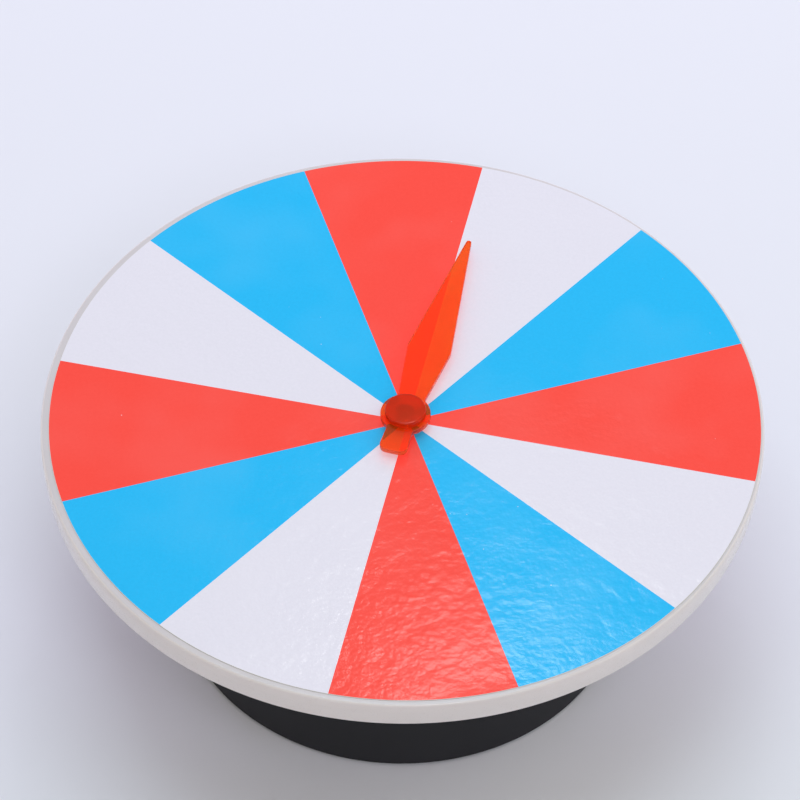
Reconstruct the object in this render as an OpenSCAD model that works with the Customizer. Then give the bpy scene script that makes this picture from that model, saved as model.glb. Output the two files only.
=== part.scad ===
// Tabletop game spinner: a round dial with twelve coloured sectors turns on a
// thrust bearing at the top of a hollow pedestal, and a pointer with its own
// pivot pin spins freely above the dial.
// +Z is up. The origin is on the table, on the axis that everything turns on.

/* [Pedestal] */
// Diameter of the pedestal at its bottom edge
pedestal_d = 153; // [146:1:158]
// Diameter of the pedestal at its top deck
pedestal_top_d = 112; // [104:1:120]
// Wall thickness of the pedestal
pedestal_wall = 2.6; // [2.2:0.1:3.2]
// Gap between the pedestal's bottom edge and the table
foot_gap = 1; // [0.6:0.1:1.5]
// Number of stiffening ribs under the deck
rib_count = 6; // [4:1:8]

/* [Dial] */
// Outer diameter of the dial
dial_d = 241.4; // [237:0.2:245]
// Height of the dial's top face above the table
dial_top = 89; // [87:0.5:92]
// Height of the dial's rim
dial_rim_h = 10.2; // [9.6:0.1:10.8]
// Thickness of the dial's flat plate
dial_plate_t = 3; // [2.6:0.1:3.4]
// Radius of the rounded outer top edge
dial_edge_r = 0.7; // [0.6:0.1:1.1]
// Number of radial ribs under the dial
dial_rib_count = 12; // [6:2:16]

/* [Label] */
// Diameter of the printed and laminated sheet
label_d = 237.6; // [233:0.2:237.6]
// Thickness of the sheet
label_t = 0.2; // [0.15:0.05:0.4]
// How far the sheet was laid off the dial's centre along X
label_shift_x = 0.8; // [-0.8:0.1:0.8]
// How far the sheet was laid off the dial's centre along Y
label_shift_y = 0.2; // [-0.3:0.1:0.3]
// How far the print is off the sheet's centre along X
print_shift_x = 1; // [-1.2:0.1:1.2]
// How far the print is off the sheet's centre along Y
print_shift_y = -0.4; // [-1.2:0.1:1.2]
// Angle of the first sector's edge, counted from +X
first_edge_angle = 18.1; // [0:0.1:30]
// Number of sectors, in groups of red, white and blue
sector_count = 12; // [6:3:18]

/* [Pointer] */
// Distance from the pivot to the pointer's tip
pointer_len = 81; // [70:0.5:100]
// Width of the blade where it is widest
blade_w = 15; // [13:0.2:18]
// Distance from the pivot to the blade's widest place
blade_wide_at = 29.8; // [22:0.2:40]
// Width of the blade's sides continued to the pivot
blade_root_w = 7.4; // [6:0.2:10]
// Length of the tail behind the pivot
tail_len = 17; // [14:0.5:22]
// Width of the tail's sides continued to the pivot
tail_root_w = 8.9; // [7:0.1:9.5]
// Width of the tail at its end
tail_w = 9.6; // [7:0.1:10]
// Diameter of the round hub
hub_d = 16.8; // [15:0.2:18]
// Diameter of the cap on the hub
cap_d = 13.8; // [12:0.2:14]
// Height of the cap above the hub
cap_h = 2.2; // [2:0.1:2.6]
// Thickness of the pointer's plate
pointer_t = 2; // [1.6:0.1:2.4]
// Gap between the pointer and the sheet under it
pointer_gap = 2.3; // [1.8:0.1:3]
// Direction that the pointer rests in, counted from +X
pointer_angle = 75; // [0:1:359]

/* [Turning parts] */
// Radius of the bearing's bore
bearing_bore_r = 10; // [9.6:0.1:10]
// Outer radius of the bearing
bearing_outer_r = 17.5; // [17.3:0.1:17.8]
// Height of the complete bearing
bearing_h = 10; // [9.6:0.1:10.4]
// Number of balls in the bearing
ball_count = 12; // [8:1:13]
// Radius of the spindle's journal
journal_r = 5; // [4.6:0.1:5.2]
// Radius of the pointer's pivot pin
pin_r = 1; // [0.8:0.1:1.1]
// How far the pivot pin is off the dial's axis along X
pin_shift_x = 0.9; // [-1:0.1:1]
// How far the pivot pin is off the dial's axis along Y
pin_shift_y = -0.3; // [-1:0.1:1]

/* [Hidden] */
$fn = 96;

// Small amount that a cutting shape runs past the face it cuts
past = 0.5;
// Depth that joined shapes of one solid run into each other
overlap = 1;
// Radial clearance of a shaft that turns in its bore
running_gap = 0.05;
// Clearance between parts that face each other along the axis
axial_gap = 0.1;
// Radial clearance of a washer on its shaft
washer_play = 0.1;
// Height of the dial's rim above the deck, and of the bearing's top
rim_clearance = 2.5;
bearing_stand = 0.5;

// Heights, from the dial's top face downwards
rim_bottom = dial_top - dial_rim_h;
plate_bottom = dial_top - dial_plate_t;
deck_top = rim_bottom - rim_clearance;
bearing_top = deck_top + bearing_stand;
bearing_bottom = bearing_top - bearing_h;
bearing_mid = (bearing_top + bearing_bottom) / 2;

// Pedestal
pedestal_r = pedestal_d / 2;
pedestal_top_r = pedestal_top_d / 2;
deck_t = 3;
deck_edge_r = 2;
cup_play = 0.5;
cup_r = bearing_outer_r + cup_play;
cup_wall = 3;
cup_bottom = bearing_bottom - cup_wall;
boss_r = 11;
boss_bottom = 38;
rib_t = 2.4;
rib_bottom = 52;
rib_foot = 6;
rib_wall_h = 10;

// Bottom cover, its screws and the feet
ledge = 2.2;
ledge_taper_h = 6;
cover_t = 2.5;
cover_inset = 0.6;
cover_play = 0.2;
cover_bottom = foot_gap + cover_inset;
cover_top = cover_bottom + cover_t;
cover_r = pedestal_r - pedestal_wall - cover_play;
post_r = 4;
post_circle_r = 63;
post_top = 18;
post_end_t = 2;
screw_r = 1.5;
screw_play = 0.2;
screw_tip = 14;
screw_tip_h = 2;
screw_tip_r = 0.4;
screw_head_r = 2.9;
screw_head_h = 1.4;
screw_head_play = 0.3;
foot_r = 6;
foot_circle_r = 62;
foot_seat = 1.3;

// Thrust bearing
ball_r = 2.5;
ball_circle_r = (bearing_bore_r + bearing_outer_r) / 2;
ball_play = 0.06;
groove_r = ball_r + ball_play;
race_gap = 2.6;
race_h = (bearing_h - race_gap) / 2;
race_step = 0.2;
cage_t = 1.2;
cage_inset = 0.6;
cage_play = 0.15;
cage_pocket_r = ball_r + cage_play;

// Spindle: its shoulder locates the lower race and ends under the dial's spigot
shoulder_r = bearing_bore_r - running_gap;
spigot_bottom = bearing_top - race_h;
spigot_gap = 0.4;
shoulder_top = spigot_bottom - spigot_gap;
spindle_chamfer = 0.5;
stud_r = 4;
stud_bottom = 28;
washer_r = 10;
washer_t = 1.5;
nut_h = 6.5;
nut_across_flats = 13;

// Dial's hub
dial_r = dial_d / 2;
dial_wall = 2.8;
rim_foot_r = 0.6;
hub_boss_r = 20.5;
spigot_r = bearing_bore_r + race_step;
bush_r = 7.5;
bush_flange_r = 9;
bush_flange_t = 0.8;
hub_floor_t = 2.4;
pocket_bottom = bearing_top + hub_floor_t;
pocket_r = 12;
cover_flange_r = 15;
cover_flange_t = 2.6;
cover_boss_r = 4;
cover_boss_h = 1.5;
dial_rib_t = 2;
dial_rib_h = 4;
ring_rib_rs = [50, 84];

// What holds the dial down on the spindle, above the bush's flange
thrust_washer_bottom = pocket_bottom + bush_flange_t + axial_gap;
thrust_washer_t = 0.8;
ring_bottom = thrust_washer_bottom + thrust_washer_t + axial_gap;
ring_t = 0.8;
ring_groove_r = 4.2;
ring_outer_r = 7.6;
ring_mouth_w = 7.2;
spindle_end = 0.9;
spindle_top = ring_bottom + ring_t + spindle_end;

// Label and its print
label_r = label_d / 2;
label_top = dial_top + label_t;
label_hole_play = 0.4;
clear_edge = 0.2;
ink_t = 0.1;
ink_hole_r = 3.4;
sector_step = 360 / sector_count;

// Pointer and its pivot
pointer_bottom = label_top + pointer_gap;
pointer_top = pointer_bottom + pointer_t;
hub_r = hub_d / 2;
cap_r = cap_d / 2;
cap_cavity_r = 4.4;
cap_roof_t = 0.8;
cap_edge_r = 0.8;
tip_r = 0.9;
tail_corner_r = 2.5;
pin_head_r = 2.5;
pin_head_t = 0.8;
pin_bottom = dial_top - cover_flange_t - cover_boss_h;
pin_chamfer = 0.3;
pivot_bush_r = 2.2;
pivot_bush_stand = 0.1;
pivot_bush_top = pointer_top + pivot_bush_stand;
spacer_r = 3;
clip_gap = 0.2;
clip_bottom = pivot_bush_top + clip_gap;
clip_t = 0.4;
pin_end = 0.3;
pin_top = clip_bottom + clip_t + pin_end;

black = "#25262b";
white = "#e2dfe4";
steel = "#b9bdc2";
orange = "#f8401a";

// Radius of the pedestal's tapered outer wall at height z
function taper_r(z) = pedestal_r
    + (pedestal_top_r - pedestal_r) * (z - foot_gap) / (deck_top - foot_gap);

// Hollow cylinder between two heights
module ring(outer_r, inner_r, bottom, top) {
    translate([0, 0, bottom])
        difference() {
            cylinder(r = outer_r, h = top - bottom);
            translate([0, 0, -past])
                cylinder(r = inner_r, h = top - bottom + 2 * past);
        }
}

// Solid cylinder between two heights
module rod(r, bottom, top) {
    translate([0, 0, bottom])
        cylinder(r = r, h = top - bottom);
}

// Places its children at count even steps on a circle
module around(count, radius, start = 0) {
    for (i = [0 : count - 1])
        rotate([0, 0, start + i * 360 / count])
            translate([radius, 0, 0])
                children();
}

// Places its children on the pointer's pivot
module at_pivot() {
    translate([pin_shift_x, pin_shift_y, 0])
        children();
}

// ---------- pedestal ----------

// Half section of the tapered wall and the deck
module pedestal_section() {
    difference() {
        union() {
            polygon([
                [0, foot_gap], [pedestal_r, foot_gap],
                [taper_r(deck_top - deck_edge_r), deck_top - deck_edge_r],
                [taper_r(deck_top) - deck_edge_r, deck_top], [0, deck_top]
            ]);
            translate([taper_r(deck_top - deck_edge_r) - deck_edge_r, deck_top - deck_edge_r])
                circle(r = deck_edge_r);
        }
        polygon([
            [-past, foot_gap - past], [cover_r + cover_play, foot_gap - past],
            [cover_r + cover_play, cover_top],
            [taper_r(cover_top) - pedestal_wall - ledge, cover_top],
            [taper_r(cover_top + ledge_taper_h) - pedestal_wall, cover_top + ledge_taper_h],
            [taper_r(deck_top - deck_t) - pedestal_wall, deck_top - deck_t],
            [-past, deck_top - deck_t]
        ]);
    }
}

// Half section of the space inside the wall, which trims the ribs
module pedestal_inside_section() {
    polygon([
        [boss_r - overlap, rib_bottom], [boss_r + rib_foot, rib_bottom],
        [taper_r(deck_top - rib_wall_h) - pedestal_wall / 2, deck_top - rib_wall_h],
        [taper_r(deck_top - deck_t / 2) - pedestal_wall / 2, deck_top - deck_t / 2],
        [cup_r + overlap, deck_top - deck_t / 2], [cup_r + overlap, cup_bottom + overlap],
        [boss_r - overlap, cup_bottom + overlap]
    ]);
}

module pedestal_ribs() {
    reach = 2 * pedestal_r;
    intersection() {
        rotate_extrude()
            pedestal_inside_section();
        for (i = [0 : rib_count - 1])
            rotate([0, 0, i * 360 / rib_count])
                translate([0, -rib_t / 2, 0])
                    cube([reach, rib_t, deck_top]);
    }
}

// Posts that the cover's screws bite into, each with a web to the wall
module screw_posts() {
    web = taper_r(post_top) - pedestal_wall / 2 - post_circle_r;
    around(4, post_circle_r)
        union() {
            rod(post_r, cover_top, post_top);
            translate([0, -rib_t / 2, cover_top])
                cube([web, rib_t, post_top - cover_top]);
        }
}

module pedestal_shell() {
    color(black)
        difference() {
            union() {
                rotate_extrude()
                    pedestal_section();
                rod(cup_r + cup_wall, cup_bottom, deck_top - deck_t / 2);
                rod(boss_r, boss_bottom, cup_bottom + overlap);
                pedestal_ribs();
                screw_posts();
            }
            rod(cup_r, bearing_bottom, deck_top + past);
            rod(journal_r, boss_bottom - past, bearing_bottom + past);
            around(4, post_circle_r)
                rod(screw_r, cover_top - past, post_top - post_end_t);
        }
}

module bottom_cover() {
    color(black)
        difference() {
            rod(cover_r, cover_bottom, cover_top);
            around(4, foot_circle_r, 45)
                rod(foot_r, cover_bottom - past, cover_bottom + foot_seat);
            around(4, post_circle_r) {
                rod(screw_r + screw_play, cover_bottom - past, cover_top + past);
                rod(screw_head_r + screw_head_play, cover_bottom - past, cover_bottom + screw_head_h);
            }
        }
}

// Countersunk-flush pan screw with a cross recess, pointing up
module cover_screw() {
    recess_w = 0.9;
    recess_l = 3.4;
    recess_depth = 0.8;
    difference() {
        union() {
            rod(screw_head_r, cover_bottom, cover_bottom + screw_head_h);
            rod(screw_r, cover_bottom + screw_head_h, screw_tip - screw_tip_h);
            translate([0, 0, screw_tip - screw_tip_h])
                cylinder(r1 = screw_r, r2 = screw_tip_r, h = screw_tip_h);
        }
        for (turn = [0, 90])
            rotate([0, 0, turn])
                translate([-recess_l / 2, -recess_w / 2, cover_bottom - past])
                    cube([recess_l, recess_w, recess_depth + past]);
    }
}

module bottom_cover_screws() {
    color(steel)
        around(4, post_circle_r)
            cover_screw();
}

// Round rubber foot with a chamfered lower edge
module foot(index) {
    chamfer = 0.5;
    color("#17171a")
        rotate([0, 0, 45 + 90 * index])
            translate([foot_circle_r, 0, 0])
                union() {
                    cylinder(r1 = foot_r - chamfer, r2 = foot_r, h = chamfer);
                    rod(foot_r, chamfer, cover_bottom + foot_seat);
                }
}

// ---------- spindle and thrust bearing ----------

module spindle() {
    color(steel)
        difference() {
            union() {
                rod(stud_r, stud_bottom, boss_bottom);
                rod(journal_r, boss_bottom, bearing_bottom);
                rod(shoulder_r, bearing_bottom, shoulder_top);
                rod(journal_r, shoulder_top, spindle_top - spindle_chamfer);
                translate([0, 0, spindle_top - spindle_chamfer])
                    cylinder(r1 = journal_r, r2 = journal_r - spindle_chamfer, h = spindle_chamfer);
            }
            ring(journal_r + past, ring_groove_r, ring_bottom, ring_bottom + ring_t);
        }
}

module spindle_washer() {
    color(steel)
        ring(washer_r, stud_r + washer_play, boss_bottom - washer_t, boss_bottom);
}

module spindle_nut() {
    color(steel)
        translate([0, 0, boss_bottom - washer_t - nut_h])
            difference() {
                cylinder(r = nut_across_flats / 2 / cos(30), h = nut_h, $fn = 6);
                translate([0, 0, -past])
                    cylinder(r = stud_r + running_gap, h = nut_h + 2 * past);
            }
}

// Torus that the balls run in, which is cut out of both races
module ball_groove() {
    translate([0, 0, bearing_mid])
        rotate_extrude()
            translate([ball_circle_r, 0])
                circle(r = groove_r, $fn = 48);
}

module bearing_lower_race() {
    color(steel)
        difference() {
            ring(bearing_outer_r, bearing_bore_r, bearing_bottom, bearing_bottom + race_h);
            ball_groove();
        }
}

module bearing_upper_race() {
    color(steel)
        difference() {
            ring(bearing_outer_r - race_step, spigot_r + running_gap,
                bearing_top - race_h, bearing_top);
            ball_groove();
        }
}

module bearing_cage() {
    color("#c9a24a")
        difference() {
            ring(bearing_outer_r - cage_inset, bearing_bore_r + cage_inset,
                bearing_mid - cage_t / 2, bearing_mid + cage_t / 2);
            around(ball_count, ball_circle_r)
                rod(cage_pocket_r, bearing_mid - cage_t, bearing_mid + cage_t);
        }
}

module bearing_balls() {
    color(steel)
        around(ball_count, ball_circle_r)
            translate([0, 0, bearing_mid])
                sphere(r = ball_r, $fn = 32);
}

// ---------- dial ----------

// Half section of the flat plate, its rounded edge and the rim below it
module dial_section() {
    difference() {
        union() {
            translate([0, rim_bottom])
                square([dial_r - rim_foot_r, dial_rim_h - dial_edge_r]);
            translate([0, rim_bottom + rim_foot_r])
                square([dial_r, dial_rim_h - rim_foot_r - dial_edge_r]);
            translate([0, rim_bottom + rim_foot_r])
                square([dial_r - dial_edge_r, dial_rim_h - rim_foot_r]);
            translate([dial_r - dial_edge_r, dial_top - dial_edge_r])
                circle(r = dial_edge_r);
            translate([dial_r - rim_foot_r, rim_bottom + rim_foot_r])
                circle(r = rim_foot_r, $fn = 32);
        }
        translate([-past, rim_bottom - past])
            square([dial_r - dial_wall + past, plate_bottom - rim_bottom + past]);
    }
}

module dial_ribs() {
    around(dial_rib_count, 0)
        translate([hub_boss_r - overlap, -dial_rib_t / 2, plate_bottom - dial_rib_h])
            cube([dial_r - dial_wall - hub_boss_r + 2 * overlap, dial_rib_t, dial_rib_h + past]);
    for (r = ring_rib_rs)
        ring(r + dial_rib_t, r, plate_bottom - dial_rib_h, plate_bottom + past);
}

module dial_plate() {
    color(white)
        difference() {
            union() {
                rotate_extrude()
                    dial_section();
                dial_ribs();
                rod(hub_boss_r, bearing_top, plate_bottom + past);
                rod(spigot_r, spigot_bottom, bearing_top + past);
            }
            rod(bush_r, spigot_bottom - past, pocket_bottom + past);
            rod(pocket_r, pocket_bottom, dial_top + past);
            rod(cover_flange_r, dial_top - cover_flange_t, dial_top + past);
        }
}

module dial_bush() {
    color("#efe9d8")
        difference() {
            union() {
                rod(bush_r, spigot_bottom + axial_gap, pocket_bottom);
                rod(bush_flange_r, pocket_bottom, pocket_bottom + bush_flange_t);
            }
            rod(journal_r + running_gap, spigot_bottom - past, pocket_bottom + bush_flange_t + past);
        }
}

module dial_washer() {
    color(steel)
        ring(bush_flange_r, journal_r + washer_play,
            thrust_washer_bottom, thrust_washer_bottom + thrust_washer_t);
}

// Open clip that snaps into the spindle's groove
module dial_retaining_ring() {
    color("#4b4f55")
        difference() {
            ring(ring_outer_r, ring_groove_r, ring_bottom, ring_bottom + ring_t);
            translate([0, -ring_mouth_w / 2, ring_bottom - past])
                cube([ring_outer_r + past, ring_mouth_w, ring_t + 2 * past]);
        }
}

// Plug that closes the dial's pocket and holds the pointer's pin
module hub_cover() {
    color(white)
        difference() {
            union() {
                rod(cover_flange_r, dial_top - cover_flange_t, dial_top);
                rod(cover_boss_r, pin_bottom, dial_top - cover_flange_t);
            }
            at_pivot()
                rod(pin_r, pin_bottom - past, dial_top + past);
        }
}

// ---------- label ----------

module dial_label() {
    color(white)
        difference() {
            translate([label_shift_x, label_shift_y, 0])
                rod(label_r, dial_top, label_top);
            at_pivot()
                rod(pin_r + label_hole_play, dial_top - past, label_top + past);
        }
}

// One sector of the print, its first edge at the given angle
module sector(angle) {
    reach = 1.2 * label_r;
    linear_extrude(height = ink_t)
        polygon([
            [0, 0],
            reach * [cos(angle), sin(angle)],
            reach * [cos(angle + sector_step), sin(angle + sector_step)]
        ]);
}

// Every third sector, cut just inside the sheet's edge and clear of the pivot
module printed_sectors(first) {
    difference() {
        intersection() {
            translate([label_shift_x, label_shift_y, 0])
                rod(label_r - clear_edge, label_top, label_top + ink_t);
            translate([label_shift_x + print_shift_x, label_shift_y + print_shift_y, label_top])
                union() {
                    for (i = [first : 3 : sector_count - 1])
                        sector(first_edge_angle - sector_step * (i + 1));
                }
        }
        at_pivot()
            rod(ink_hole_r, label_top - past, label_top + ink_t + past);
    }
}

module red_sectors() {
    color("#f4483f")
        printed_sectors(0);
}

module blue_sectors() {
    color("#2aa6ee")
        printed_sectors(2);
}

// ---------- pointer and its pivot ----------

module pointer_pin() {
    color(steel)
        at_pivot()
            union() {
                rod(pin_head_r, pin_bottom - pin_head_t, pin_bottom);
                rod(pin_r, pin_bottom, pin_top - pin_chamfer);
                translate([0, 0, pin_top - pin_chamfer])
                    cylinder(r1 = pin_r, r2 = pin_r - pin_chamfer, h = pin_chamfer);
            }
}

module pointer_spacer() {
    color("#f4f2ea")
        at_pivot()
            ring(spacer_r, pin_r, label_top, pointer_bottom - axial_gap);
}

module pin_clip() {
    color(steel)
        at_pivot()
            ring(spacer_r, pin_r, clip_bottom, clip_bottom + clip_t);
}

// Points along an arc about a centre, both ends included
function arc(centre, r, from, to, steps = 10) =
    [for (i = [0 : steps]) let (a = from + (to - from) * i / steps)
        centre + r * [cos(a), sin(a)]];

// Outline of the blade, which narrows to a round tip
module blade_outline() {
    tip_centre = [pointer_len - tip_r, 0];
    facing = 90 - atan2(blade_w / 2 - tip_r, tip_centre.x - blade_wide_at);
    polygon(concat(
        [[0, -blade_root_w / 2], [blade_wide_at, -blade_w / 2]],
        arc(tip_centre, tip_r, -facing, facing),
        [[blade_wide_at, blade_w / 2], [0, blade_root_w / 2]]
    ));
}

// Outline of the short tail, which widens a little towards its two rounded corners
module tail_outline() {
    corner = [-tail_len + tail_corner_r, tail_w / 2 - tail_corner_r];
    polygon(concat(
        [[0, -tail_root_w / 2], [0, tail_root_w / 2]],
        arc(corner, tail_corner_r, 90, 180),
        arc([corner.x, -corner.y], tail_corner_r, 180, 270)
    ));
}

module pointer() {
    color(orange)
        at_pivot()
            difference() {
                rotate([0, 0, pointer_angle])
                    translate([0, 0, pointer_bottom])
                        union() {
                            linear_extrude(height = pointer_t)
                                blade_outline();
                            linear_extrude(height = pointer_t)
                                tail_outline();
                            cylinder(r = hub_r, h = pointer_t);
                        }
                rod(pivot_bush_r, pointer_bottom - past, pointer_top + past);
            }
}

module pointer_bush() {
    color("#c9a24a")
        at_pivot()
            ring(pivot_bush_r, pin_r + running_gap, pointer_bottom, pivot_bush_top);
}

// Snap-on cap with a rounded top edge, hollow over the pin's end
module pointer_cap() {
    color(orange)
        at_pivot()
            rotate_extrude()
                difference() {
                    union() {
                        translate([0, pointer_top])
                            square([cap_r, cap_h - cap_edge_r]);
                        translate([0, pointer_top])
                            square([cap_r - cap_edge_r, cap_h]);
                        translate([cap_r - cap_edge_r, pointer_top + cap_h - cap_edge_r])
                            circle(r = cap_edge_r, $fn = 32);
                    }
                    translate([-past, pointer_top - past])
                        square([cap_cavity_r + past, cap_h - cap_roof_t + past]);
                }
}

pedestal_shell();
bottom_cover();
bottom_cover_screws();
foot(0);  // foot_1
foot(1);  // foot_2
foot(2);  // foot_3
foot(3);  // foot_4
spindle();
spindle_washer();
spindle_nut();
bearing_lower_race();
bearing_cage();
bearing_balls();
bearing_upper_race();
dial_plate();
dial_bush();
dial_washer();
dial_retaining_ring();
hub_cover();
dial_label();
red_sectors();
blue_sectors();
pointer_pin();
pointer_spacer();
pin_clip();
pointer();
pointer_bush();
pointer_cap();
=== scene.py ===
"""Looks of the game spinner: its pieces and their materials, a floor, soft lights and a camera."""

import math

import bmesh
import bpy
from mathutils import Matrix, Vector, noise


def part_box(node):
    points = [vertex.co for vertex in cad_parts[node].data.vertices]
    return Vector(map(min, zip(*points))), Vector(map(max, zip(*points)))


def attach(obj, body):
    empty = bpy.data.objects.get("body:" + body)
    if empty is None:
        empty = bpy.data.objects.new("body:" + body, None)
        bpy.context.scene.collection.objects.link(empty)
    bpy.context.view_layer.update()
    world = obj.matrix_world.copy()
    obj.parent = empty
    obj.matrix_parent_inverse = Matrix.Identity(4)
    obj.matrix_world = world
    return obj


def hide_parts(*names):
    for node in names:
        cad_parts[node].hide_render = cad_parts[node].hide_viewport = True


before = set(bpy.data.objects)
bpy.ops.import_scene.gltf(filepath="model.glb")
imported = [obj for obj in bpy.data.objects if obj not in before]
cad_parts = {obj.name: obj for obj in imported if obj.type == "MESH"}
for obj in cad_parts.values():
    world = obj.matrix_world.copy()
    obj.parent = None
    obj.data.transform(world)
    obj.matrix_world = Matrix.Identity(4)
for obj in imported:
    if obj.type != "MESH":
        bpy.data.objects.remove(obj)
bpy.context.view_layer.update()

MM = 0.001
TAU = 2 * math.pi

# Places and sizes from the CAD frame; the label's radius is the part's own design value
dial_low, dial_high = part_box("dial_plate")
label_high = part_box("dial_label")[1]
arm_low, arm_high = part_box("pointer")
cap_low, cap_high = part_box("pointer_cap")
shell_low, shell_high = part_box("pedestal_shell")
cover_low, cover_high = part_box("bottom_cover")
pin_low, pin_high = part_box("pointer_pin")
RACE_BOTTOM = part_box("bearing_lower_race")[0].z
WASHER_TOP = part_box("spindle_washer")[1].z
PLUG_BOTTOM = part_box("hub_cover")[0].z
BUSH_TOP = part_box("dial_bush")[1].z

LABEL_R = 118.8 * MM
LABEL_CENTRE = Vector((label_high.x - LABEL_R, label_high.y - LABEL_R))
LABEL_TOP = label_high.z + 0.03 * MM
DIAL_R = dial_high.x - 0.01 * MM
DIAL_TOP = dial_high.z
SHELL_R = shell_high.x
PIVOT = Vector(((pin_low.x + pin_high.x) / 2, (pin_low.y + pin_high.y) / 2))

# More design values, the same as in the part's own source
RIM_H = 10.2 * MM
RIM_WALL = 2.8 * MM
PLATE_T = 3 * MM
PLATE_UNDER = DIAL_TOP - PLATE_T
DIAL_RIBS = 12
DIAL_BOSS_R = 20.5 * MM
PRINT_CENTRE = LABEL_CENTRE + Vector((1, -0.4)) * MM
FIRST_EDGE = math.radians(18.1)
SECTORS = 12
POINTER_ANGLE = math.radians(75)
POINTER_LEN = 81 * MM
BLADE_W = 15 * MM
BLADE_WIDE_AT = 29.8 * MM
BLADE_ROOT_W = 9.2 * MM
TAIL_LEN = 17 * MM
TAIL_ROOT_W = 8.8 * MM
TAIL_W = 9.6 * MM
HUB_R = 8.4 * MM
SHELL_TOP_R = 56 * MM
SHELL_WALL = 2.6 * MM
DECK_UNDER = shell_high.z - 3 * MM
CUP_R = 18 * MM
SPINDLE_BOSS_R = 11 * MM
SHELL_RIBS = 6
SCREW_POSTS = 4
POST_CIRCLE_R = 63 * MM

# Steps of the label's mesh across the paper, and the share of light that the floor gives back
PAPER_STEPS = 24
FLOOR_SHADE = 0.785


# ---------- mesh helpers ----------

def rounded(corners, steps=5):
    """Closed outline through (x, y, radius) corners, each radius above 0 made a round."""
    points = []
    for i, (x, y, radius) in enumerate(corners):
        here = Vector((x, y))
        if radius <= 0:
            points.append(here)
            continue
        back = (Vector(corners[i - 1][:2]) - here).normalized()
        ahead = (Vector(corners[(i + 1) % len(corners)][:2]) - here).normalized()
        half = back.angle(ahead) / 2
        centre = here + (back + ahead).normalized() * radius / math.sin(half)
        start = here + back * radius / math.tan(half) - centre
        end = here + ahead * radius / math.tan(half) - centre
        turn = math.atan2(start.x * end.y - start.y * end.x, start.dot(end))
        for k in range(steps + 1):
            points.append(centre + Matrix.Rotation(turn * k / steps, 2) @ start)
    return points


def add_lathe(bm, outline, segments=192):
    """Adds the closed solid that a (radius, height) outline sweeps about the axis."""
    on_axis = 1e-7
    angles = [TAU * k / segments for k in range(segments)]
    rings = []
    for r, z in outline:
        if r < on_axis:
            rings.append([bm.verts.new((0, 0, z))] * segments)
        else:
            rings.append([bm.verts.new((r * math.cos(a), r * math.sin(a), z)) for a in angles])
    for here, there in zip(rings, rings[1:] + rings[:1]):
        for k in range(segments):
            n = (k + 1) % segments
            corners = []
            for v in (here[k], here[n], there[n], there[k]):
                if v not in corners:
                    corners.append(v)
            if len(corners) > 2:
                bm.faces.new(corners)


def add_prism(bm, outline, low, high, place, edge=0.0):
    """Adds the sides of a flat solid with that outline, its two edges rounded off by edge.

    A ring just inside each rounded edge keeps the shading of the flat face flat. Returns the two
    rings of points that the flat faces span.
    """
    count = len(outline)
    inward = []
    for i, here in enumerate(outline):
        side = (outline[(i + 1) % count] - outline[i - 1]).normalized()
        inward.append(Vector((-side.y, side.x)))
    steps = 3
    levels = [(2 * edge, low)]
    for k in range(steps + 1):
        a = math.pi / 2 * k / steps
        levels.append((edge * (1 - math.sin(a)), low + edge * (1 - math.cos(a))))
    levels += [(inset, high + low - z) for inset, z in reversed(levels)]
    if edge <= 0:
        levels = [(0, low), (0, high)]
    rings = [
        [bm.verts.new(place @ Vector((*(p + inward[i] * inset), z))) for i, p in enumerate(outline)]
        for inset, z in levels
    ]
    for here, there in zip(rings, rings[1:]):
        for i in range(count):
            n = (i + 1) % count
            bm.faces.new((here[i], here[n], there[n], there[i]))
    return rings[0], rings[-1]


def cap_ends(bm, bottom, top):
    """Closes a prism that has no hole."""
    bm.faces.new(list(reversed(bottom)))
    bm.faces.new(top)


def piece(name, bm, materials, body, replaced, sharp=34):
    """Makes a mesh object of bm that rides on a CAD body and stands for the replaced nodes.

    Edges that turn by more than sharp degrees are shaded as edges.
    """
    bmesh.ops.recalc_face_normals(bm, faces=bm.faces)
    mesh = bpy.data.meshes.new(name)
    bm.to_mesh(mesh)
    bm.free()
    for material in materials:
        mesh.materials.append(material)
    mesh.polygons.foreach_set("use_smooth", [True] * len(mesh.polygons))
    mesh.set_sharp_from_angle(angle=math.radians(sharp))
    made = bpy.data.objects.new(name, mesh)
    bpy.context.scene.collection.objects.link(made)
    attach(made, body)
    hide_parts(*replaced)
    return made


# ---------- material helpers ----------

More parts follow.
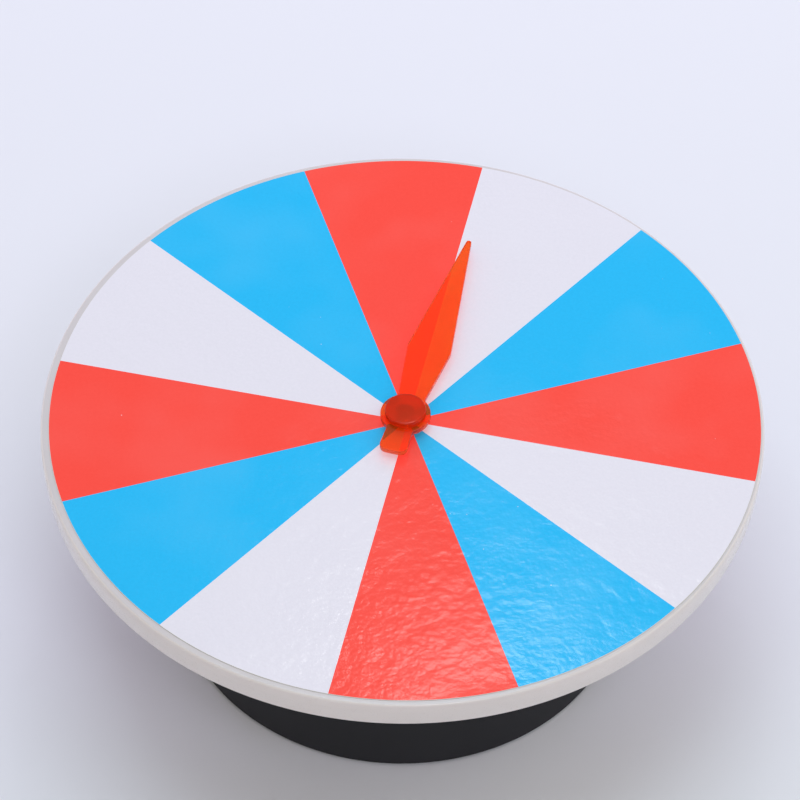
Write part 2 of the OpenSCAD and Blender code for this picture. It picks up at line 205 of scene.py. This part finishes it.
class Paint:
    """A Principled material whose nodes are added one short call at a time."""

    def __init__(self, name, **sockets):
        self.material = bpy.data.materials.new(name)
        self.material.use_nodes = True
        self.tree = self.material.node_tree
        self.shader = self.tree.nodes["Principled BSDF"]
        self.output = self.tree.nodes["Material Output"]
        self.place = self.add("ShaderNodeTexCoord").outputs["Object"]
        self.bumped = None
        for socket, value in sockets.items():
            self.shader.inputs[socket.replace("_", " ")].default_value = value

    def add(self, kind, **settings):
        """A new node of that kind."""
        node = self.tree.nodes.new(kind)
        for key, value in settings.items():
            setattr(node, key, value)
        return node

    def join(self, source, target):
        self.tree.links.new(source, target)

    def grain(self, size, detail=3.0, stretch=(1, 1, 1), rough=0.5):
        """Noise from 0 to 1 whose features are about size across, in metres."""
        scaled = self.add("ShaderNodeMapping")
        scaled.inputs["Scale"].default_value = [s / size for s in stretch]
        made = self.add("ShaderNodeTexNoise")
        made.inputs["Scale"].default_value = 1.0
        made.inputs["Detail"].default_value = detail
        made.inputs["Roughness"].default_value = rough
        self.join(self.place, scaled.inputs["Vector"])
        self.join(scaled.outputs["Vector"], made.inputs["Vector"])
        return made.outputs["Fac"]

    def spots(self, size, share):
        """1 inside small scattered dots and 0 elsewhere.

        A fifth of the cells, each about size across, hold a dot whose radius is that share of size.
        """
        scaled = self.add("ShaderNodeVectorMath", operation="SCALE")
        scaled.inputs["Scale"].default_value = 1 / size
        cells = self.add("ShaderNodeTexVoronoi")
        cells.inputs["Scale"].default_value = 1.0
        self.join(self.place, scaled.inputs[0])
        self.join(scaled.outputs[0], cells.inputs["Vector"])
        near = self.band(cells.outputs["Distance"], share, share / 2)
        chance = self.add("ShaderNodeSeparateColor")
        self.join(cells.outputs["Color"], chance.inputs["Color"])
        picked = self.band(chance.outputs["Red"], 0.78, 0.8)
        return self.maths("MULTIPLY", near, picked)

    def band(self, value, low, high, out_low=0.0, out_high=1.0):
        """value run from low..high to out_low..out_high, held at both ends."""
        ramp = self.add("ShaderNodeMapRange")
        ends = {"From Min": low, "From Max": high, "To Min": out_low, "To Max": out_high}
        for key, number in ends.items():
            ramp.inputs[key].default_value = number
        self.join(value, ramp.inputs["Value"])
        return ramp.outputs["Result"]

    def maths(self, operation, one, other):
        """Result of a Math node; each operand is a number or a socket."""
        made = self.add("ShaderNodeMath", operation=operation)
        for socket, value in zip(made.inputs, (one, other)):
            if isinstance(value, (int, float)):
                socket.default_value = value
            else:
                self.join(value, socket)
        return made.outputs[0]

    def blend(self, amount, first, second):
        """Colour that goes from first to second by amount; each is a colour or a socket."""
        mix = self.add("ShaderNodeMix", data_type="RGBA")
        self.join(amount, mix.inputs[0])
        for socket, value in ((mix.inputs[6], first), (mix.inputs[7], second)):
            if isinstance(value, tuple):
                socket.default_value = (*value, 1)
            else:
                self.join(value, socket)
        return mix.outputs[2]

    def colour(self, source):
        """Takes the base colour from source."""
        self.join(source, self.shader.inputs["Base Color"])
        return self

    def roughness(self, source, low, high):
        """Roughness that goes from low to high with the middle range of source."""
        self.join(self.band(source, 0.3, 0.7, low, high), self.shader.inputs["Roughness"])
        return self

    def bump(self, height, depth):
        """Raises the surface by height times depth metres, on top of any bump before it."""
        made = self.add("ShaderNodeBump")
        made.inputs["Strength"].default_value = 1.0
        made.inputs["Distance"].default_value = depth
        self.join(height, made.inputs["Height"])
        if self.bumped is not None:
            self.join(self.bumped, made.inputs["Normal"])
        self.bumped = made.outputs["Normal"]
        self.join(self.bumped, self.shader.inputs["Normal"])
        return self


def laminated(name, ink, shade):
    """Printed paper under a clear film: fine mottle, dust, and ripples in the film's gloss."""
    dust = (0.86, 0.86, 0.88)
    washed = tuple(min(1.0, 0.93 * c + 0.05) for c in ink)
    paint = Paint(
        name, Roughness=0.5, Specular_IOR_Level=0.0,
        Coat_Weight=1.0, Coat_Roughness=0.14, Coat_IOR=1.47,
    )
    mottle = paint.grain(1.1 * MM, detail=4.0, rough=0.65)
    cloud = paint.grain(38 * MM, detail=2.0)
    printed = paint.blend(paint.band(mottle, 0.25, 0.75), ink, shade)
    clouded = paint.blend(paint.band(cloud, 0.45, 0.8, 0, 0.6), printed, washed)
    specks = paint.maths("MULTIPLY", paint.spots(5.5 * MM, 0.045), 0.6)
    paint.colour(paint.blend(specks, clouded, dust))
    wrinkle = paint.grain(1.6 * MM, detail=1.0)
    ripple = paint.grain(3.6 * MM, detail=2.0)
    swell = paint.grain(18 * MM, detail=1.0)
    for height, depth in ((wrinkle, 0.03 * MM), (ripple, 0.08 * MM), (swell, 0.16 * MM)):
        paint.bump(height, depth)
    paint.join(paint.bumped, paint.shader.inputs["Coat Normal"])
    return paint.material


def white_plastic():
    """Off-white moulding with flow marks and a soft gloss.

    Faces that look up get a darker colour: painted shade on the flat top and the start of the rounded
    edge.
    """
    paint = Paint(
        "white_plastic", IOR=1.5, Specular_IOR_Level=0.3, Coat_Weight=0.7, Coat_Roughness=0.2,
        Subsurface_Weight=0.12, Subsurface_Scale=1 * MM,
    )
    paint.shader.inputs["Subsurface Radius"].default_value = (1.0, 0.85, 0.75)
    flow = paint.grain(26 * MM, detail=3.0, stretch=(1, 1, 2.5))
    fine = paint.grain(0.5 * MM, detail=2.0)
    wall = paint.blend(flow, (0.78, 0.705, 0.68), (0.85, 0.77, 0.745))
    # top: the darker colour that up-facing faces get, painted shade
    top = paint.blend(flow, (0.58, 0.54, 0.53), (0.65, 0.61, 0.60))
    painted_shade_facing = paint.add("ShaderNodeSeparateXYZ")
    paint.join(paint.add("ShaderNodeNewGeometry").outputs["Normal"], painted_shade_facing.inputs[0])
    paint.colour(paint.blend(paint.band(painted_shade_facing.outputs["Z"], 0.8, 0.99), wall, top))
    paint.roughness(fine, 0.26, 0.38)
    waves = paint.grain(7 * MM, detail=1.0)
    return paint.bump(fine, 0.006 * MM).bump(waves, 0.03 * MM).material


def film_edge():
    """Laminate that stands past the paper, coloured a warm grey darker than the rim, so it shows as a
    thin line.
    """
    paint = Paint("laminate_edge", Roughness=0.2, Coat_Weight=0.6, Coat_Roughness=0.1)
    grain = paint.grain(2.5 * MM)
    paint.colour(paint.blend(grain, (0.62, 0.58, 0.53), (0.72, 0.69, 0.65)))
    return paint.bump(grain, 0.01 * MM).material


def black_plastic():
    """Satin black moulding with spark-eroded grain, handling marks and a little dust."""
    paint = Paint("black_plastic", IOR=1.5, Specular_IOR_Level=0.42)
    dust = (0.16, 0.16, 0.16)
    grain = paint.grain(0.32 * MM, detail=2.0)
    wipe = paint.grain(17 * MM, detail=4.0, stretch=(1, 1, 0.35))
    specks = paint.maths("MULTIPLY", paint.spots(2.6 * MM, 0.05), 0.35)
    base = paint.blend(wipe, (0.008, 0.008, 0.011), (0.014, 0.014, 0.019))
    paint.colour(paint.blend(specks, base, dust))
    paint.roughness(wipe, 0.36, 0.5)
    return paint.bump(grain, 0.012 * MM).material


def rubber():
    """Dull black rubber with a fine matt skin."""
    paint = Paint("foot_rubber", IOR=1.52, Sheen_Weight=0.12, Sheen_Roughness=0.5)
    skin = paint.grain(0.4 * MM, detail=4.0)
    scuff = paint.grain(3 * MM, detail=3.0)
    paint.colour(paint.blend(scuff, (0.018, 0.018, 0.018), (0.045, 0.043, 0.042)))
    paint.roughness(scuff, 0.7, 0.92)
    return paint.bump(skin, 0.03 * MM).material


def metal(name, dark, light, rough, brushed=1.0):
    """Metal with a slightly uneven polish and fine turning marks, brushed times the usual depth."""
    paint = Paint(name, Metallic=1.0)
    marks = paint.grain(1.2 * MM, detail=3.0, stretch=(1, 1, 14))
    haze = paint.grain(4 * MM, detail=3.0)
    paint.colour(paint.blend(haze, dark, light))
    paint.roughness(haze, rough * 0.75, rough * 1.3)
    return paint.bump(marks, 0.004 * MM * brushed).material


def nylon():
    """Natural nylon: milky, waxy and a little warm."""
    paint = Paint("nylon", IOR=1.53, Subsurface_Weight=0.3, Subsurface_Scale=1.5 * MM)
    haze = paint.grain(2.2 * MM, detail=3.0)
    paint.colour(paint.blend(haze, (0.74, 0.70, 0.60), (0.82, 0.79, 0.70)))
    paint.roughness(haze, 0.35, 0.5)
    return paint.bump(haze, 0.01 * MM).material


def orange_plastic(name, dark, light, clear, gloss, shadow):
    """Clear orange-red moulding with a faint painted glow: what lies under it shows through, tinted.

    clear is the share of light that goes through it, gloss its specular level, and shadow the
    tint of the light that it lets onto what is below.
    """
    shadow_passed = 0.95
    # The emission set here is a painted glow: faint orange-red light that the part gives off though
    # it is no lamp
    paint = Paint(
        name, IOR=1.38, Specular_IOR_Level=gloss, Transmission_Weight=clear, Roughness=0.13,
        Emission_Strength=0.015,
    )
    paint.shader.inputs["Emission Color"].default_value = (1.0, 0.06, 0.01, 1)
    swirl = paint.grain(9 * MM, detail=3.0, stretch=(1, 1, 3))
    fine = paint.grain(0.7 * MM, detail=2.0)
    paint.colour(paint.blend(swirl, dark, light))
    paint.bump(fine, 0.003 * MM).bump(swirl, 0.012 * MM)
    passed = paint.add("ShaderNodeBsdfTransparent")
    passed.inputs["Color"].default_value = (*shadow, 1)
    path = paint.add("ShaderNodeLightPath")
    mix = paint.add("ShaderNodeMixShader")
    paint.join(paint.maths("MULTIPLY", path.outputs["Is Shadow Ray"], shadow_passed), mix.inputs[0])
    paint.join(paint.shader.outputs[0], mix.inputs[1])
    paint.join(passed.outputs[0], mix.inputs[2])
    paint.join(mix.outputs[0], paint.output.inputs["Surface"])
    return paint.material


# ---------- the label ----------

def ray_to_circle(origin, direction, centre, radius):
    """Where a ray that starts inside a circle leaves it."""
    across = origin - centre
    along = across.dot(direction)
    to_edge = math.sqrt(along * along - across.length_squared + radius * radius)
    return origin + direction * (to_edge - along)


def label_spoke(angle):
    """Points of the paper from the pivot's hole outwards, and the film's edge beyond them.

    They lie in the direction angle from the print's centre.
    """
    hole_r = 1.4 * MM
    film = 0.16 * MM
    crowding = 0.9
    direction = Vector((math.cos(angle), math.sin(angle)))
    hole = ray_to_circle(PRINT_CENTRE, direction, PIVOT, hole_r)
    edge = ray_to_circle(PRINT_CENTRE, direction, LABEL_CENTRE, LABEL_R)
    paper = edge - (edge - LABEL_CENTRE).normalized() * film
    shares = [(k / PAPER_STEPS) ** crowding for k in range(PAPER_STEPS + 1)]
    return [hole.lerp(paper, share) for share in shares], edge


def label_height(point):
    """The sheet lies almost flat: it swells by a few hundredths of a millimetre."""
    wave = 31 * MM
    swell = noise.noise(Vector((point.x / wave, point.y / wave, 0.4)))
    return LABEL_TOP - 0.02 * MM + 0.018 * MM * swell


def label_sheet(paints):
    """The printed, laminated sheet: its sectors, the film past the paper, and its thickness.

    paints are the white, red and blue prints and the film.
    """
    white, red, blue, film = range(len(paints))
    colours = (red, white, blue)
    per_sector = 22
    count = SECTORS * per_sector
    bm = bmesh.new()
    columns = []
    for k in range(count):
        points, edge = label_spoke(FIRST_EDGE - TAU * k / count)
        shoulder = LABEL_CENTRE + (edge - LABEL_CENTRE) * 0.9997
        past_paper = (
            (*shoulder, LABEL_TOP - 0.02 * MM), (*edge, LABEL_TOP - 0.08 * MM),
            (*edge, DIAL_TOP), (*points[0], DIAL_TOP),
        )
        column = [bm.verts.new((*p, label_height(p))) for p in points]
        column += [bm.verts.new(p) for p in past_paper]
        columns.append(column)
    rows = len(columns[0])
    film_end = PAPER_STEPS + 3
    for k in range(count):
        here, there = columns[k], columns[(k + 1) % count]
        ink = colours[(k // per_sector) % len(colours)]
        for i in range(rows):
            n = (i + 1) % rows
            face = bm.faces.new((here[i], here[n], there[n], there[i]))
            face.material_index = ink if i < PAPER_STEPS else film if i < film_end else white
    return piece(
        "label_sheet", bm, paints, "dial",
        ("dial_label", "red_sectors", "blue_sectors"), sharp=50,
    )


# ---------- the dial ----------

def dial_moulding(paint):
    """Plate, rounded rim and hub boss in one turned outline."""
    spigot_r, bush_r, pocket_r, plug_r = (v * MM for v in (10.2, 7.5, 12, 15))
    rim_low = DIAL_TOP - RIM_H
    boss_low = RACE_BOTTOM + 10 * MM
    pocket_low = BUSH_TOP - 0.8 * MM
    plug_seat = PLUG_BOTTOM + 1.5 * MM
    wall_in = DIAL_R - RIM_WALL
    corners = [
        (plug_r, DIAL_TOP, 0.15 * MM), (DIAL_R - 0.05 * MM, DIAL_TOP, 1 * MM),
        (DIAL_R, DIAL_TOP - 3.5 * MM, 12 * MM), (DIAL_R - 0.6 * MM, rim_low, 0.6 * MM),
        (wall_in + 0.25 * MM, rim_low, 0.5 * MM),
        (wall_in, PLATE_UNDER, 1.2 * MM), (DIAL_BOSS_R + 0.3 * MM, PLATE_UNDER, 1.0 * MM),
        (DIAL_BOSS_R, boss_low, 0.5 * MM), (spigot_r, boss_low, 0.3 * MM),
        (spigot_r, dial_low.z, 0.4 * MM), (bush_r, dial_low.z, 0.3 * MM),
        (bush_r, pocket_low, 0.2 * MM), (pocket_r, pocket_low, 0.4 * MM),
        (pocket_r, plug_seat, 0.1 * MM), (plug_r, plug_seat, 0.1 * MM),
    ]
    bm = bmesh.new()
    add_lathe(bm, rounded(corners), segments=288)
    return piece("dial_moulding", bm, [paint], "dial", ("dial_plate",))


def add_radial_rib(bm, angle, inner, outer, low, high, foot, tip):
    """Adds a rib that thins from foot at its root to tip at its rounded free edge."""
    soft = tip * 0.35
    section = rounded([
        (-foot / 2, high, 0), (-tip / 2, low, soft), (tip / 2, low, soft), (foot / 2, high, 0),
    ], steps=3)
    turn = Matrix.Rotation(angle, 3, "Z")
    ends = [
        [bm.verts.new(turn @ Vector((x, across, z))) for across, z in section]
        for x in (inner, outer)
    ]
    count = len(section)
    for i in range(count):
        n = (i + 1) % count
        bm.faces.new((ends[0][i], ends[0][n], ends[1][n], ends[1][i]))
    cap_ends(bm, ends[0], ends[1])


def dial_ribs(paint):
    """Radial and ring ribs under the plate, with draft and soft edges."""
    sunk = 0.1 * MM
    low, high = PLATE_UNDER - 4 * MM, PLATE_UNDER + sunk
    foot, tip = 2.2 * MM, 1.6 * MM
    inner, outer = DIAL_BOSS_R - sunk, DIAL_R - RIM_WALL + sunk
    bm = bmesh.new()
    for k in range(DIAL_RIBS):
        add_radial_rib(bm, TAU * k / DIAL_RIBS, inner, outer, low, high, foot, tip)
    for ring_r in (51 * MM, 85 * MM):
        add_lathe(bm, rounded([
            (ring_r - foot / 2, high, 0), (ring_r - tip / 2, low, 0.5 * MM),
            (ring_r + tip / 2, low, 0.5 * MM), (ring_r + foot / 2, high, 0),
        ], steps=3), segments=160)
    return piece("dial_ribs", bm, [paint], "dial", ("dial_plate",))


# ---------- the pointer ----------

def at_pivot():
    """Matrix that moves a shape from the dial's axis to the pointer's pivot."""
    return Matrix.Translation((PIVOT.x, PIVOT.y, 0))


def pointer_outline():
    """Blade, hub and tail as one outline, counter-clockwise from the blade's right root."""
    tip_r = 0.9 * MM
    centre_x = POINTER_LEN - tip_r
    to_corner = Vector((centre_x - BLADE_WIDE_AT, BLADE_W / 2))
    half = math.atan2(to_corner.y, to_corner.x) - math.asin(tip_r / to_corner.length)
    apex_x = centre_x + tip_r / math.sin(half)
    root_y, tail_root_y, tail_y = BLADE_ROOT_W / 2, TAIL_ROOT_W / 2, TAIL_W / 2
    root_a = math.asin(root_y / HUB_R)
    tail_a = math.pi - math.asin(tail_root_y / HUB_R)
    root_x, tail_x = HUB_R * math.cos(root_a), HUB_R * math.cos(tail_a)
    room = math.radians(13)
    steps = 16
    arc = [root_a + room + (tail_a - root_a - 2 * room) * k / steps for k in range(steps + 1)]
    upper = [(HUB_R * math.cos(a), HUB_R * math.sin(a), 0) for a in arc]
    lower = [(x, -y, 0) for x, y, _ in reversed(upper)]
    return rounded([
        (root_x, -root_y, 1.6 * MM), (BLADE_WIDE_AT, -BLADE_W / 2, 5 * MM), (apex_x, 0, tip_r),
        (BLADE_WIDE_AT, BLADE_W / 2, 5 * MM), (root_x, root_y, 1.6 * MM), *upper,
        (tail_x, tail_root_y, 1.6 * MM), (-TAIL_LEN, tail_y, 2.5 * MM),
        (-TAIL_LEN, -tail_y, 2.5 * MM), (tail_x, -tail_root_y, 1.6 * MM), *lower,
    ], steps=7)


def pointer_arm(paint):
    """The flat moulded pointer, with soft edges and the bore for its bush."""
    bore_r = 2.2 * MM
    sides = 48
    place = at_pivot() @ Matrix.Rotation(POINTER_ANGLE, 4, "Z")
    bm = bmesh.new()
    bottom, top = add_prism(bm, pointer_outline(), arm_low.z, arm_high.z, place, edge=0.22 * MM)
    bore = [
        [bm.verts.new(place @ Vector((bore_r * math.cos(a), bore_r * math.sin(a), z)))
         for a in (TAU * k / sides for k in range(sides))]
        for z in (arm_low.z, arm_high.z)
    ]
    for k in range(sides):
        n = (k + 1) % sides
        bm.faces.new((bore[0][k], bore[0][n], bore[1][n], bore[1][k]))
    for rings in ((bottom, bore[0]), (top, bore[1])):
        edges = [bm.edges.get((ring[i - 1], ring[i])) for ring in rings for i in range(len(ring))]
        bmesh.ops.triangle_fill(bm, edges=edges, use_beauty=True)
    return piece("pointer_arm", bm, [paint], "pointer", ("pointer",))


def pointer_dome(paint):
    """The snap-on cap: a low boss, hollow below and almost flat on top, with a round shoulder."""
    cap_r = (cap_high.x - cap_low.x) / 2
    base, top = cap_low.z + 0.01 * MM, cap_high.z
    ceiling = top - 0.85 * MM
    corners = [
        (0, top, 0), (cap_r - 0.8 * MM, top - 0.03 * MM, 0),
        (cap_r - 0.1 * MM, top - 0.05 * MM, 0.5 * MM), (cap_r, base, 0.12 * MM),
        (4.4 * MM, base, 0.12 * MM), (4.3 * MM, ceiling, 0.6 * MM), (0, ceiling, 0),
    ]
    bm = bmesh.new()
    add_lathe(bm, rounded(corners, steps=6), segments=96)
    bmesh.ops.transform(bm, matrix=at_pivot(), verts=bm.verts[:])
    return piece("pointer_dome", bm, [paint], "pointer", ("pointer_cap",))


# ---------- the pedestal ----------

def shell_r(z):
    """Radius of the pedestal's outer wall at height z."""
    share = (z - shell_low.z) / (shell_high.z - shell_low.z)
    return SHELL_R + (SHELL_TOP_R - SHELL_R) * share


def pedestal_moulding(paint):
    """Tapered wall, deck, bearing cup and spindle boss in one turned outline."""
    low, deck = shell_low.z, shell_high.z
    opening_r = cover_high.x + 0.2 * MM
    seat = cover_high.z
    ledge_r = shell_r(seat) - SHELL_WALL - 2.2 * MM
    inner_low = seat + 6 * MM
    cup_outer_r = CUP_R + 3 * MM
    cup_low = RACE_BOTTOM - 3 * MM
    bore_r = 5 * MM
    corners = [
        (CUP_R, deck, 0.4 * MM), (SHELL_TOP_R, deck, 2 * MM), (SHELL_R, low, 0.35 * MM),
        (opening_r, low, 0.2 * MM), (opening_r, seat, 0.1 * MM),
        (ledge_r, seat, 0.2 * MM), (shell_r(inner_low) - SHELL_WALL, inner_low, 2 * MM),
        (shell_r(DECK_UNDER) - SHELL_WALL, DECK_UNDER, 1.5 * MM), (cup_outer_r, DECK_UNDER, 1 * MM),
        (cup_outer_r, cup_low, 0.5 * MM), (SPINDLE_BOSS_R + 0.2 * MM, cup_low, 1 * MM),
        (SPINDLE_BOSS_R, WASHER_TOP, 0.4 * MM), (bore_r, WASHER_TOP, 0.2 * MM),
        (bore_r, RACE_BOTTOM, 0.2 * MM), (CUP_R, RACE_BOTTOM, 0.4 * MM),
    ]
    bm = bmesh.new()
    add_lathe(bm, rounded(corners), segments=256)
    return piece("pedestal_moulding", bm, [paint], "pedestal", ("pedestal_shell",))


def pedestal_ribs(paint):
    """Ribs from the spindle boss to the wall, and the posts for the cover's screws."""
    low, high = 52 * MM, DECK_UNDER + 0.3 * MM
    boss_x = SPINDLE_BOSS_R - 0.2 * MM
    wall_x = shell_r(DECK_UNDER) - SHELL_WALL + 0.3 * MM
    section = rounded([
        (boss_x, low, 0), (boss_x + 6.2 * MM, low, 3 * MM), (wall_x, DECK_UNDER - 8 * MM, 2 * MM),
        (wall_x, high, 0), (boss_x, high, 0),
    ], steps=3)
    half = 1.2 * MM
    upright = Matrix.Rotation(math.pi / 2, 4, "X")
    bm = bmesh.new()
    for k in range(SHELL_RIBS):
        place = Matrix.Rotation(TAU * k / SHELL_RIBS, 4, "Z") @ upright
        cap_ends(bm, *add_prism(bm, section, -half, half, place, edge=0.25 * MM))
    for k in range(SCREW_POSTS):
        add_screw_post(bm, TAU * k / SCREW_POSTS)
    return piece("pedestal_ribs", bm, [paint], "pedestal", ("pedestal_shell",))


def add_screw_post(bm, angle):
    """Adds a post with its screw hole, and a web from it to the wall."""
    low, top = cover_high.z, 18 * MM
    post_r, hole_r, hole_top = 4 * MM, 1.5 * MM, top - 2 * MM
    post = rounded([
        (hole_r, low, 0.2 * MM), (post_r, low, 0.3 * MM), (post_r, top, 0.5 * MM),
        (0, top, 0), (0, hole_top, 0), (hole_r, hole_top, 0),
    ], steps=3)
    begin = len(bm.verts)
    add_lathe(bm, post, segments=32)
    bm.verts.ensure_lookup_table()
    place = Matrix.Rotation(angle, 4, "Z") @ Matrix.Translation((POST_CIRCLE_R, 0, 0))
    bmesh.ops.transform(bm, matrix=place, verts=bm.verts[begin:])
    inner = post_r - 0.4 * MM
    outer = shell_r(top) - SHELL_WALL - POST_CIRCLE_R + 0.5 * MM
    half = 1.2 * MM
    web = [Vector(p) for p in ((inner, -half), (outer, -half), (outer, half), (inner, half))]
    cap_ends(bm, *add_prism(bm, web, low + 0.2 * MM, top, place))


def bottom_cover(paint):
    """Round cover with soft edges and three shallow ring grooves below."""
    low, top, r = cover_low.z, cover_high.z, cover_high.x - 0.05 * MM
    groove_top = low + 0.25 * MM
    wide, narrow = 0.9 * MM, 0.6 * MM
    corners = [(0, top, 0), (r, top, 0.3 * MM), (r, low, 0.5 * MM)]
    for ring_r in (52 * MM, 34 * MM, 16 * MM):
        corners += [
            (ring_r + wide, low, 0.15 * MM), (ring_r + narrow, groove_top, 0.1 * MM),
            (ring_r - narrow, groove_top, 0.1 * MM), (ring_r - wide, low, 0.15 * MM),
        ]
    corners.append((0, low, 0))
    bm = bmesh.new()
    add_lathe(bm, rounded(corners, steps=3), segments=192)
    return piece("cover_moulding", bm, [paint], "pedestal", ("bottom_cover",))


def rubber_foot(index, paint):
    """Round foot with a soft lower edge and a dimple in its sole."""
    node = f"foot_{index}"
    low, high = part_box(node)
    centre = (low + high) / 2
    r = (high.x - low.x) / 2
    dimple = 0.45 * MM
    corners = [
        (0, high.z, 0), (r, high.z, 0.2 * MM), (r, 0.8 * MM, 0.5 * MM),
        (r - 0.4 * MM, 0, 0.35 * MM), (r * 0.42, 0, 0.15 * MM),
        (r * 0.34, dimple, 0.2 * MM), (0, dimple, 0),
    ]
    bm = bmesh.new()
    add_lathe(bm, rounded(corners, steps=4), segments=64)
    bmesh.ops.translate(bm, vec=(centre.x, centre.y, 0), verts=bm.verts[:])
    return piece(f"rubber_{node}", bm, [paint], "pedestal", (node,))


# ---------- CAD nodes that stay ----------

def finish_cad_nodes(paints):
    """Gives each CAD node that stays in view its detailed material."""
    wanted = {
        "zinc": (
            "bottom_cover_screws", "spindle", "spindle_washer", "spindle_nut", "dial_washer",
            "pointer_pin",
        ),
        "bearing": ("bearing_lower_race", "bearing_upper_race", "bearing_balls"),
        "brass": ("bearing_cage", "pointer_bush"),
        "spring": ("dial_retaining_ring", "pin_clip"),
        "nylon": ("dial_bush", "pointer_spacer"),
        "white": ("hub_cover",),
    }
    for paint, nodes in wanted.items():
        for node in nodes:
            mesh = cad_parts[node].data
            mesh.materials.clear()
            mesh.materials.append(paints[paint])


# ---------- floor, lights and camera ----------

def floor():
    """Plain pale floor that carries the soft shadow."""
    half = 30.0
    height = -0.02 * MM
    corners = ((-half, -half), (half, -half), (half, half), (-half, half))
    bm = bmesh.new()
    bm.faces.new([bm.verts.new((x, y, height)) for x, y in corners])
    mesh = bpy.data.meshes.new("floor")
    bm.to_mesh(mesh)
    bm.free()
    paint = Paint("floor", Roughness=0.75, Specular_IOR_Level=0.2)
    paint.colour(paint.blend(paint.grain(0.6), (0.775, 0.775, 0.80), (0.79, 0.79, 0.815)))
    mesh.materials.append(paint.material)
    made = bpy.data.objects.new("floor", mesh)
    bpy.context.scene.collection.objects.link(made)


def soft_light(name, place, size, power, tint=(1, 1, 1), mirrored=True, aim=(0, 0, DIAL_TOP)):
    """A soft box of that width and height, in metres, which faces aim and stays out of the picture.

    One that isn't mirrored lights the object but doesn't show as a white patch in its gloss.
    """
    data = bpy.data.lights.new(name, "AREA")
    data.shape = "RECTANGLE"
    data.size, data.size_y = size
    data.energy = power
    data.color = tint
    made = bpy.data.objects.new(name, data)
    made.location = place
    made.rotation_euler = (Vector(aim) - Vector(place)).to_track_quat("-Z", "Y").to_euler()
    made.visible_camera = False
    made.visible_glossy = mirrored
    bpy.context.scene.collection.objects.link(made)


def lights():
    """Soft boxes all round, a small high one whose reflection lies in the film, and a dim world."""
    soft_light("back_box", (-0.1, 1.53, 1.04), (1.8, 0.5), 16.7, (0.672, 0.61, 0.989), mirrored=False)
    soft_light("side_box", (1.36, 0.69, 1.04), (1.2, 0.5), 4.5, (0.966, 1.0, 0.961), mirrored=False)
    soft_light("top_box", (-0.05, 0.15, 1.95), (1.2, 1.2), 12.4, (0.735, 0.90, 1.0))
    soft_light("front_box", (0.24, -1.14, 1.42), (0.5, 0.45), 5.6, (0.74, 0.744, 0.935))
    soft_light("right_box", (1.7, -0.62, 0.42), (0.8, 0.4), 2.2, (0.65, 0.88, 1.0), mirrored=False)
    soft_light("left_box", (-1.75, 0.1, 0.42), (0.8, 0.4), 1.3, (0.95, 0.97, 1.0), mirrored=False)
    soft_light("high_box", (0.056, 1.06, 1.68), (0.12, 0.13), 0.5, aim=(0.04, -0.15, DIAL_TOP))
    surroundings((1.0, 0.97, 0.855), 0.438)


def surroundings(tint, strength):
    """Even dim light from all round, which looks as bright as the far floor that it lights.

    So the floor's far edge hardly shows in a low view.
    """
    world = bpy.data.worlds.new("studio")
    world.use_nodes = True
    nodes, links = world.node_tree.nodes, world.node_tree.links
    nodes["Background"].inputs["Color"].default_value = (*tint, 1)
    level = nodes.new("ShaderNodeMath")
    level.operation = "MULTIPLY_ADD"
    level.inputs[1].default_value = strength * (FLOOR_SHADE - 1)
    level.inputs[2].default_value = strength
    links.new(nodes.new("ShaderNodeLightPath").outputs["Is Camera Ray"], level.inputs[0])
    links.new(level.outputs[0], nodes["Background"].inputs["Strength"])
    bpy.context.scene.world = world


def camera():
    """Long lens, 49 degrees above the horizon, with the small roll of the hand that held it."""
    elevation, azimuth, roll = (math.radians(v) for v in (48.99, -0.13, 0.7))
    distance = 2.006
    target = Vector((-1 * MM, 8.94 * MM, DIAL_TOP + 0.3 * MM))
    flat = math.cos(elevation)
    towards = Vector((math.sin(azimuth) * flat, math.cos(azimuth) * flat, -math.sin(elevation)))
    data = bpy.data.cameras.new("camera")
    data.sensor_width = 36
    data.lens = 270
    data.clip_end = 50
    made = bpy.data.objects.new("camera", data)
    turn = towards.to_track_quat("-Z", "Y").to_matrix() @ Matrix.Rotation(roll, 3, "Z")
    made.matrix_world = Matrix.Translation(target - towards * distance) @ turn.to_4x4()
    bpy.context.scene.collection.objects.link(made)
    bpy.context.scene.camera = made


def build():
    """Makes the camera, lights and floor, then every piece with its material."""
    camera()
    lights()
    floor()
    white = white_plastic()
    black = black_plastic()
    orange = orange_plastic(
        "orange_plastic", (0.97, 0.103, 0.005), (0.97, 0.138, 0.009),
        clear=0.82, gloss=0.26, shadow=(0.88, 0.85, 0.87),
    )
    deep_orange = orange_plastic(
        "orange_cap", (0.70, 0.038, 0.003), (0.80, 0.055, 0.006),
        clear=0.6, gloss=0.1, shadow=(0.5, 0.2, 0.18),
    )
    soft_black = rubber()
    label_sheet([
        laminated("white_print", (0.79, 0.76, 0.80), (0.75, 0.725, 0.765)),
        laminated("red_print", (0.99, 0.075, 0.053), (0.97, 0.065, 0.045)),
        laminated("blue_print", (0.012, 0.495, 0.86), (0.008, 0.46, 0.815)),
        film_edge(),
    ])
    dial_moulding(white)
    dial_ribs(white)
    pointer_arm(orange)
    pointer_dome(deep_orange)
    pedestal_moulding(black)
    pedestal_ribs(black)
    bottom_cover(black)
    for index in range(1, 5):
        rubber_foot(index, soft_black)
    finish_cad_nodes({
        "zinc": metal("zinc_steel", (0.50, 0.52, 0.54), (0.64, 0.66, 0.68), 0.3),
        "bearing": metal("bearing_steel", (0.60, 0.61, 0.62), (0.70, 0.71, 0.72), 0.12, 0.3),
        "brass": metal("brass", (0.60, 0.42, 0.15), (0.72, 0.52, 0.21), 0.26),
        "spring": metal("spring_steel", (0.08, 0.08, 0.09), (0.14, 0.14, 0.15), 0.35),
        "nylon": nylon(),
        "white": white,
    })


bpy.context.scene.view_settings.view_transform = "Standard"
build()
